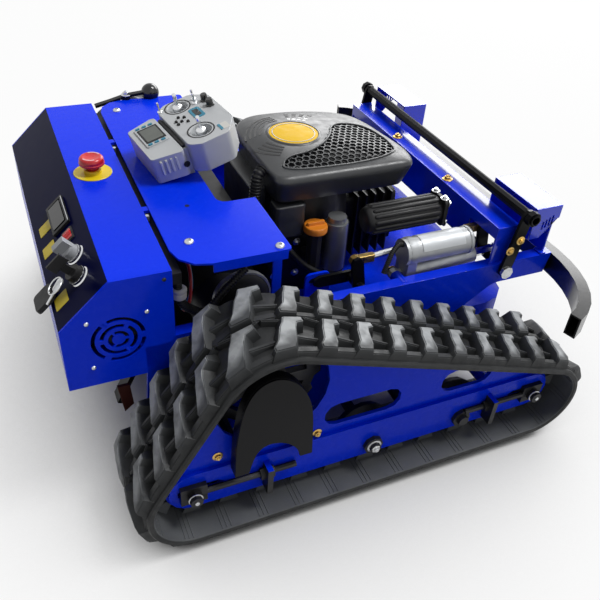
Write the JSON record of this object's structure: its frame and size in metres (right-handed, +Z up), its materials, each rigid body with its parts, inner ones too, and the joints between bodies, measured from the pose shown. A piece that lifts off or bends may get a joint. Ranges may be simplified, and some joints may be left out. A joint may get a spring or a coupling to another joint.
{
  "type": "remote control slope mower",
  "caption": "Tracked remote control slope mower with a height-adjusted cutting deck, petrol engine, sloping control box, front bumper and a hand-held transmitter on its cover.",
  "frame": {"origin": "on the ground, below the middle of the overall box", "axes": "+X towards the front bumper, +Y to the left side of the machine, +Z up"},
  "size_m": [0.86, 0.876, 0.508],
  "materials": {
    "blue_paint": "glossy powder coat",
    "black_paint": "semi-gloss paint",
    "track_rubber": "matt moulded rubber",
    "black_plastic": "fine texture",
    "shroud_plastic": "fine texture",
    "steel": "machined",
    "aluminium": "cast and turned",
    "zinc": "yellow zinc plating",
    "yellow_plastic": "gloss",
    "red_plastic": "gloss",
    "orange_plastic": "gloss",
    "pale_plastic": "satin"
  },
  "bodies": {
    "chassis": {"chassis_side_left": "blue_paint", "chassis_side_right": "blue_paint", "track_frame_left": "blue_paint", "track_frame_right": "blue_paint", "rubber_track_left": "track_rubber", "rubber_track_right": "track_rubber", "sprocket_guard_left": "black_paint", "sprocket_guard_right": "black_paint", "gear_motor_left": "black_paint", "gear_motor_right": "black_paint", "front_crossbeam": "blue_paint", "front_hood_left": "blue_paint", "front_hood_right": "blue_paint", "front_bumper": "black_paint", "chassis_tray": "black_paint", "battery": "black_plastic", "control_box_shell": "blue_paint", "control_box_cover_left": "blue_paint", "control_box_cover_right": "blue_paint", "fan_motor": "black_plastic", "emergency_stop_collar": "yellow_plastic", "voltage_display": "black_plastic", "top_cover": "blue_paint", "wiring_conduit": "black_plastic"},
    "sprocket_left": {"drive_sprocket_left": "steel"},
    "front_idler_left_turning": {"front_idler_left": "black_paint"},
    "rear_idler_left_turning": {"rear_idler_left": "black_paint"},
    "front_road_wheel_left_turning": {"front_road_wheel_left": "black_paint"},
    "rear_road_wheel_left_turning": {"rear_road_wheel_left": "black_paint"},
    "sprocket_right": {"drive_sprocket_right": "steel"},
    "front_idler_right_turning": {"front_idler_right": "black_paint"},
    "rear_idler_right_turning": {"rear_idler_right": "black_paint"},
    "front_road_wheel_right_turning": {"front_road_wheel_right": "black_paint"},
    "rear_road_wheel_right_turning": {"rear_road_wheel_right": "black_paint"},
    "fan": {"fan_rotor": "black_plastic"},
    "lift": {"lift_frame": "black_paint"},
    "deck": {"mower_deck": "blue_paint", "engine_block": "black_paint", "engine_shroud": "shroud_plastic", "shroud_grille": "shroud_plastic", "starter_motor": "steel", "muffler": "black_paint"},
    "cutter": {"blade": "steel"},
    "filler_cap": {"oil_filler_cap": "orange_plastic"},
    "rear_lever_left": {"rear_lift_lever_left": "black_paint"},
    "lift_rod_left": {"tie_rod_left": "zinc"},
    "actuator_left_can": {"actuator_left": "aluminium"},
    "actuator_left_ram": {"actuator_rod_left": "steel"},
    "rear_lever_right": {"rear_lift_lever_right": "black_paint"},
    "lift_rod_right": {"tie_rod_right": "zinc"},
    "actuator_right_can": {"actuator_right": "aluminium"},
    "actuator_right_ram": {"actuator_rod_right": "steel"},
    "stop_button": {"emergency_stop_button": "red_plastic"},
    "selector": {"selector_knob": "pale_plastic"},
    "key": {"ignition_key": "black_plastic"},
    "rocker": {"rocker_switch": "red_plastic"},
    "lever": {"ball_lever": "black_plastic"},
    "handset": {"transmitter": "pale_plastic"},
    "stick_left": {"transmitter_stick_left": "steel"},
    "stick_right": {"transmitter_stick_right": "steel"}
  },
  "joints": [
    {"name": "drive_left", "type": "hinge", "parent": "chassis", "child": "sprocket_left", "pos_m": [-0.17, 0.36, 0.247], "axis": [0, 1, 0], "continuous": true},
    {"name": "front_idler_left_spin", "type": "hinge", "parent": "chassis", "child": "front_idler_left_turning", "pos_m": [0.3207, 0.36, 0.094], "axis": [0, 1, 0], "continuous": true},
    {"name": "rear_idler_left_spin", "type": "hinge", "parent": "chassis", "child": "rear_idler_left_turning", "pos_m": [-0.292, 0.36, 0.094], "axis": [0, 1, 0], "continuous": true},
    {"name": "front_road_wheel_left_spin", "type": "hinge", "parent": "chassis", "child": "front_road_wheel_left_turning", "pos_m": [0.178, 0.36, 0.08], "axis": [0, 1, 0], "continuous": true},
    {"name": "rear_road_wheel_left_spin", "type": "hinge", "parent": "chassis", "child": "rear_road_wheel_left_turning", "pos_m": [0.008, 0.36, 0.08], "axis": [0, 1, 0], "continuous": true},
    {"name": "drive_right", "type": "hinge", "parent": "chassis", "child": "sprocket_right", "pos_m": [-0.17, -0.36, 0.247], "axis": [0, 1, 0], "continuous": true},
    {"name": "front_idler_right_spin", "type": "hinge", "parent": "chassis", "child": "front_idler_right_turning", "pos_m": [0.3207, -0.36, 0.094], "axis": [0, 1, 0], "continuous": true},
    {"name": "rear_idler_right_spin", "type": "hinge", "parent": "chassis", "child": "rear_idler_right_turning", "pos_m": [-0.292, -0.36, 0.094], "axis": [0, 1, 0], "continuous": true},
    {"name": "front_road_wheel_right_spin", "type": "hinge", "parent": "chassis", "child": "front_road_wheel_right_turning", "pos_m": [0.178, -0.36, 0.08], "axis": [0, 1, 0], "continuous": true},
    {"name": "rear_road_wheel_right_spin", "type": "hinge", "parent": "chassis", "child": "rear_road_wheel_right_turning", "pos_m": [0.008, -0.36, 0.08], "axis": [0, 1, 0], "continuous": true},
    {"name": "fan_spin", "type": "hinge", "parent": "chassis", "child": "fan", "pos_m": [-0.355, -0.272, 0.314], "axis": [0, 1, 0], "continuous": true},
    {"name": "lift_swing", "type": "hinge", "parent": "chassis", "child": "lift", "pos_m": [0.303, 0, 0.275], "axis": [0, -1, 0], "range_deg": [0, 28.85]},
    {"name": "deck_lower", "type": "slide", "parent": "chassis", "child": "deck", "axis": [0, 0, -1], "range_m": [0, 0.02875]},
    {"name": "blade_spin", "type": "hinge", "parent": "deck", "child": "cutter", "pos_m": [0.015, 0, 0.106], "axis": [0, 0, 1], "continuous": true},
    {"name": "filler_cap_turn", "type": "hinge", "parent": "deck", "child": "filler_cap", "pos_m": [0.005, -0.134, 0.333], "axis": [0, 0, 1], "range_deg": [0, 90]},
    {"name": "rear_lever_left_swing", "type": "hinge", "parent": "chassis", "child": "rear_lever_left", "pos_m": [0.058, 0.2, 0.253], "axis": [0, -1, 0], "range_deg": [0, 28.85]},
    {"name": "tie_rod_left_shift", "type": "slide", "parent": "chassis", "child": "lift_rod_left", "axis": [-0.9137, 0, -0.4065], "range_m": [0, 0.02389]},
    {"name": "actuator_left_tilt", "type": "hinge", "parent": "chassis", "child": "actuator_left_can", "pos_m": [0.11, 0.23, 0.28], "axis": [0, -1, 0], "range_deg": [0, 3.69]},
    {"name": "actuator_left_pull", "type": "slide", "parent": "actuator_left_can", "child": "actuator_left_ram", "axis": [-0.9981, 0, -0.0624], "range_m": [0, 0.01198]},
    {"name": "rear_lever_right_swing", "type": "hinge", "parent": "chassis", "child": "rear_lever_right", "pos_m": [0.058, -0.2, 0.253], "axis": [0, -1, 0], "range_deg": [0, 28.85]},
    {"name": "tie_rod_right_shift", "type": "slide", "parent": "chassis", "child": "lift_rod_right", "axis": [-0.9137, 0, -0.4065], "range_m": [0, 0.02389]},
    {"name": "actuator_right_tilt", "type": "hinge", "parent": "chassis", "child": "actuator_right_can", "pos_m": [0.11, -0.23, 0.28], "axis": [0, -1, 0], "range_deg": [0, 3.69]},
    {"name": "actuator_right_pull", "type": "slide", "parent": "actuator_right_can", "child": "actuator_right_ram", "axis": [-0.9981, 0, -0.0624], "range_m": [0, 0.01198]},
    {"name": "stop_press", "type": "slide", "parent": "chassis", "child": "stop_button", "axis": [0, 0, -1], "range_m": [0, 0.005], "stiffness_N_per_m": 500, "springref_m": -0.002},
    {"name": "selector_turn", "type": "hinge", "parent": "chassis", "child": "selector", "pos_m": [-0.38343, -0.18, 0.3889], "axis": [-0.686, 0, 0.7276], "range_deg": [-45, 45]},
    {"name": "key_turn", "type": "hinge", "parent": "chassis", "child": "key", "pos_m": [-0.38634, -0.228, 0.38616], "axis": [-0.686, 0, 0.7276], "range_deg": [0, 90]},
    {"name": "rocker_tip", "type": "hinge", "parent": "chassis", "child": "rocker", "pos_m": [-0.38634, -0.122, 0.38616], "axis": [0.7276, 0, 0.686], "range_deg": [-10, 10]},
    {"name": "lever_swing", "type": "hinge", "parent": "chassis", "child": "lever", "pos_m": [-0.21, 0.292, 0.404], "axis": [0, 1, 0], "range_deg": [-20, 20]},
    {"name": "handset_lift", "type": "slide", "parent": "chassis", "child": "handset", "axis": [0, 0, 1], "range_m": [0, 0.12]},
    {"name": "stick_left_tilt", "type": "hinge", "parent": "handset", "child": "stick_left", "pos_m": [-0.1699, 0.05865, 0.48107], "axis": [-0.1217, 0.9926, 0], "range_deg": [-20, 20], "stiffness_Nm_per_rad": 0.05},
    {"name": "stick_right_tilt", "type": "hinge", "parent": "handset", "child": "stick_right", "pos_m": [-0.15846, -0.03465, 0.48107], "axis": [0.9587, 0.1175, 0.259], "range_deg": [-20, 20], "stiffness_Nm_per_rad": 0.05}
  ],
  "couplings": [
    {"joint": "front_idler_left_spin", "follows": "drive_left", "ratio": 1.345},
    {"joint": "rear_idler_left_spin", "follows": "drive_left", "ratio": 1.345},
    {"joint": "front_road_wheel_left_spin", "follows": "drive_left", "ratio": 1.6753},
    {"joint": "rear_road_wheel_left_spin", "follows": "drive_left", "ratio": 1.6753},
    {"joint": "front_idler_right_spin", "follows": "drive_right", "ratio": 1.345},
    {"joint": "rear_idler_right_spin", "follows": "drive_right", "ratio": 1.345},
    {"joint": "front_road_wheel_right_spin", "follows": "drive_right", "ratio": 1.6753},
    {"joint": "rear_road_wheel_right_spin", "follows": "drive_right", "ratio": 1.6753},
    {"joint": "lift_swing", "follows": "deck_lower", "rad_per_m": 17.391},
    {"joint": "rear_lever_left_swing", "follows": "deck_lower", "rad_per_m": 17.391},
    {"joint": "tie_rod_left_shift", "follows": "deck_lower", "ratio": 0.82054},
    {"joint": "actuator_left_tilt", "follows": "deck_lower", "rad_per_m": 2.1785},
    {"joint": "actuator_left_pull", "follows": "deck_lower", "ratio": 0.40625},
    {"joint": "rear_lever_right_swing", "follows": "deck_lower", "rad_per_m": 17.391},
    {"joint": "tie_rod_right_shift", "follows": "deck_lower", "ratio": 0.82054},
    {"joint": "actuator_right_tilt", "follows": "deck_lower", "rad_per_m": 2.1785},
    {"joint": "actuator_right_pull", "follows": "deck_lower", "ratio": 0.40625}
  ]
}
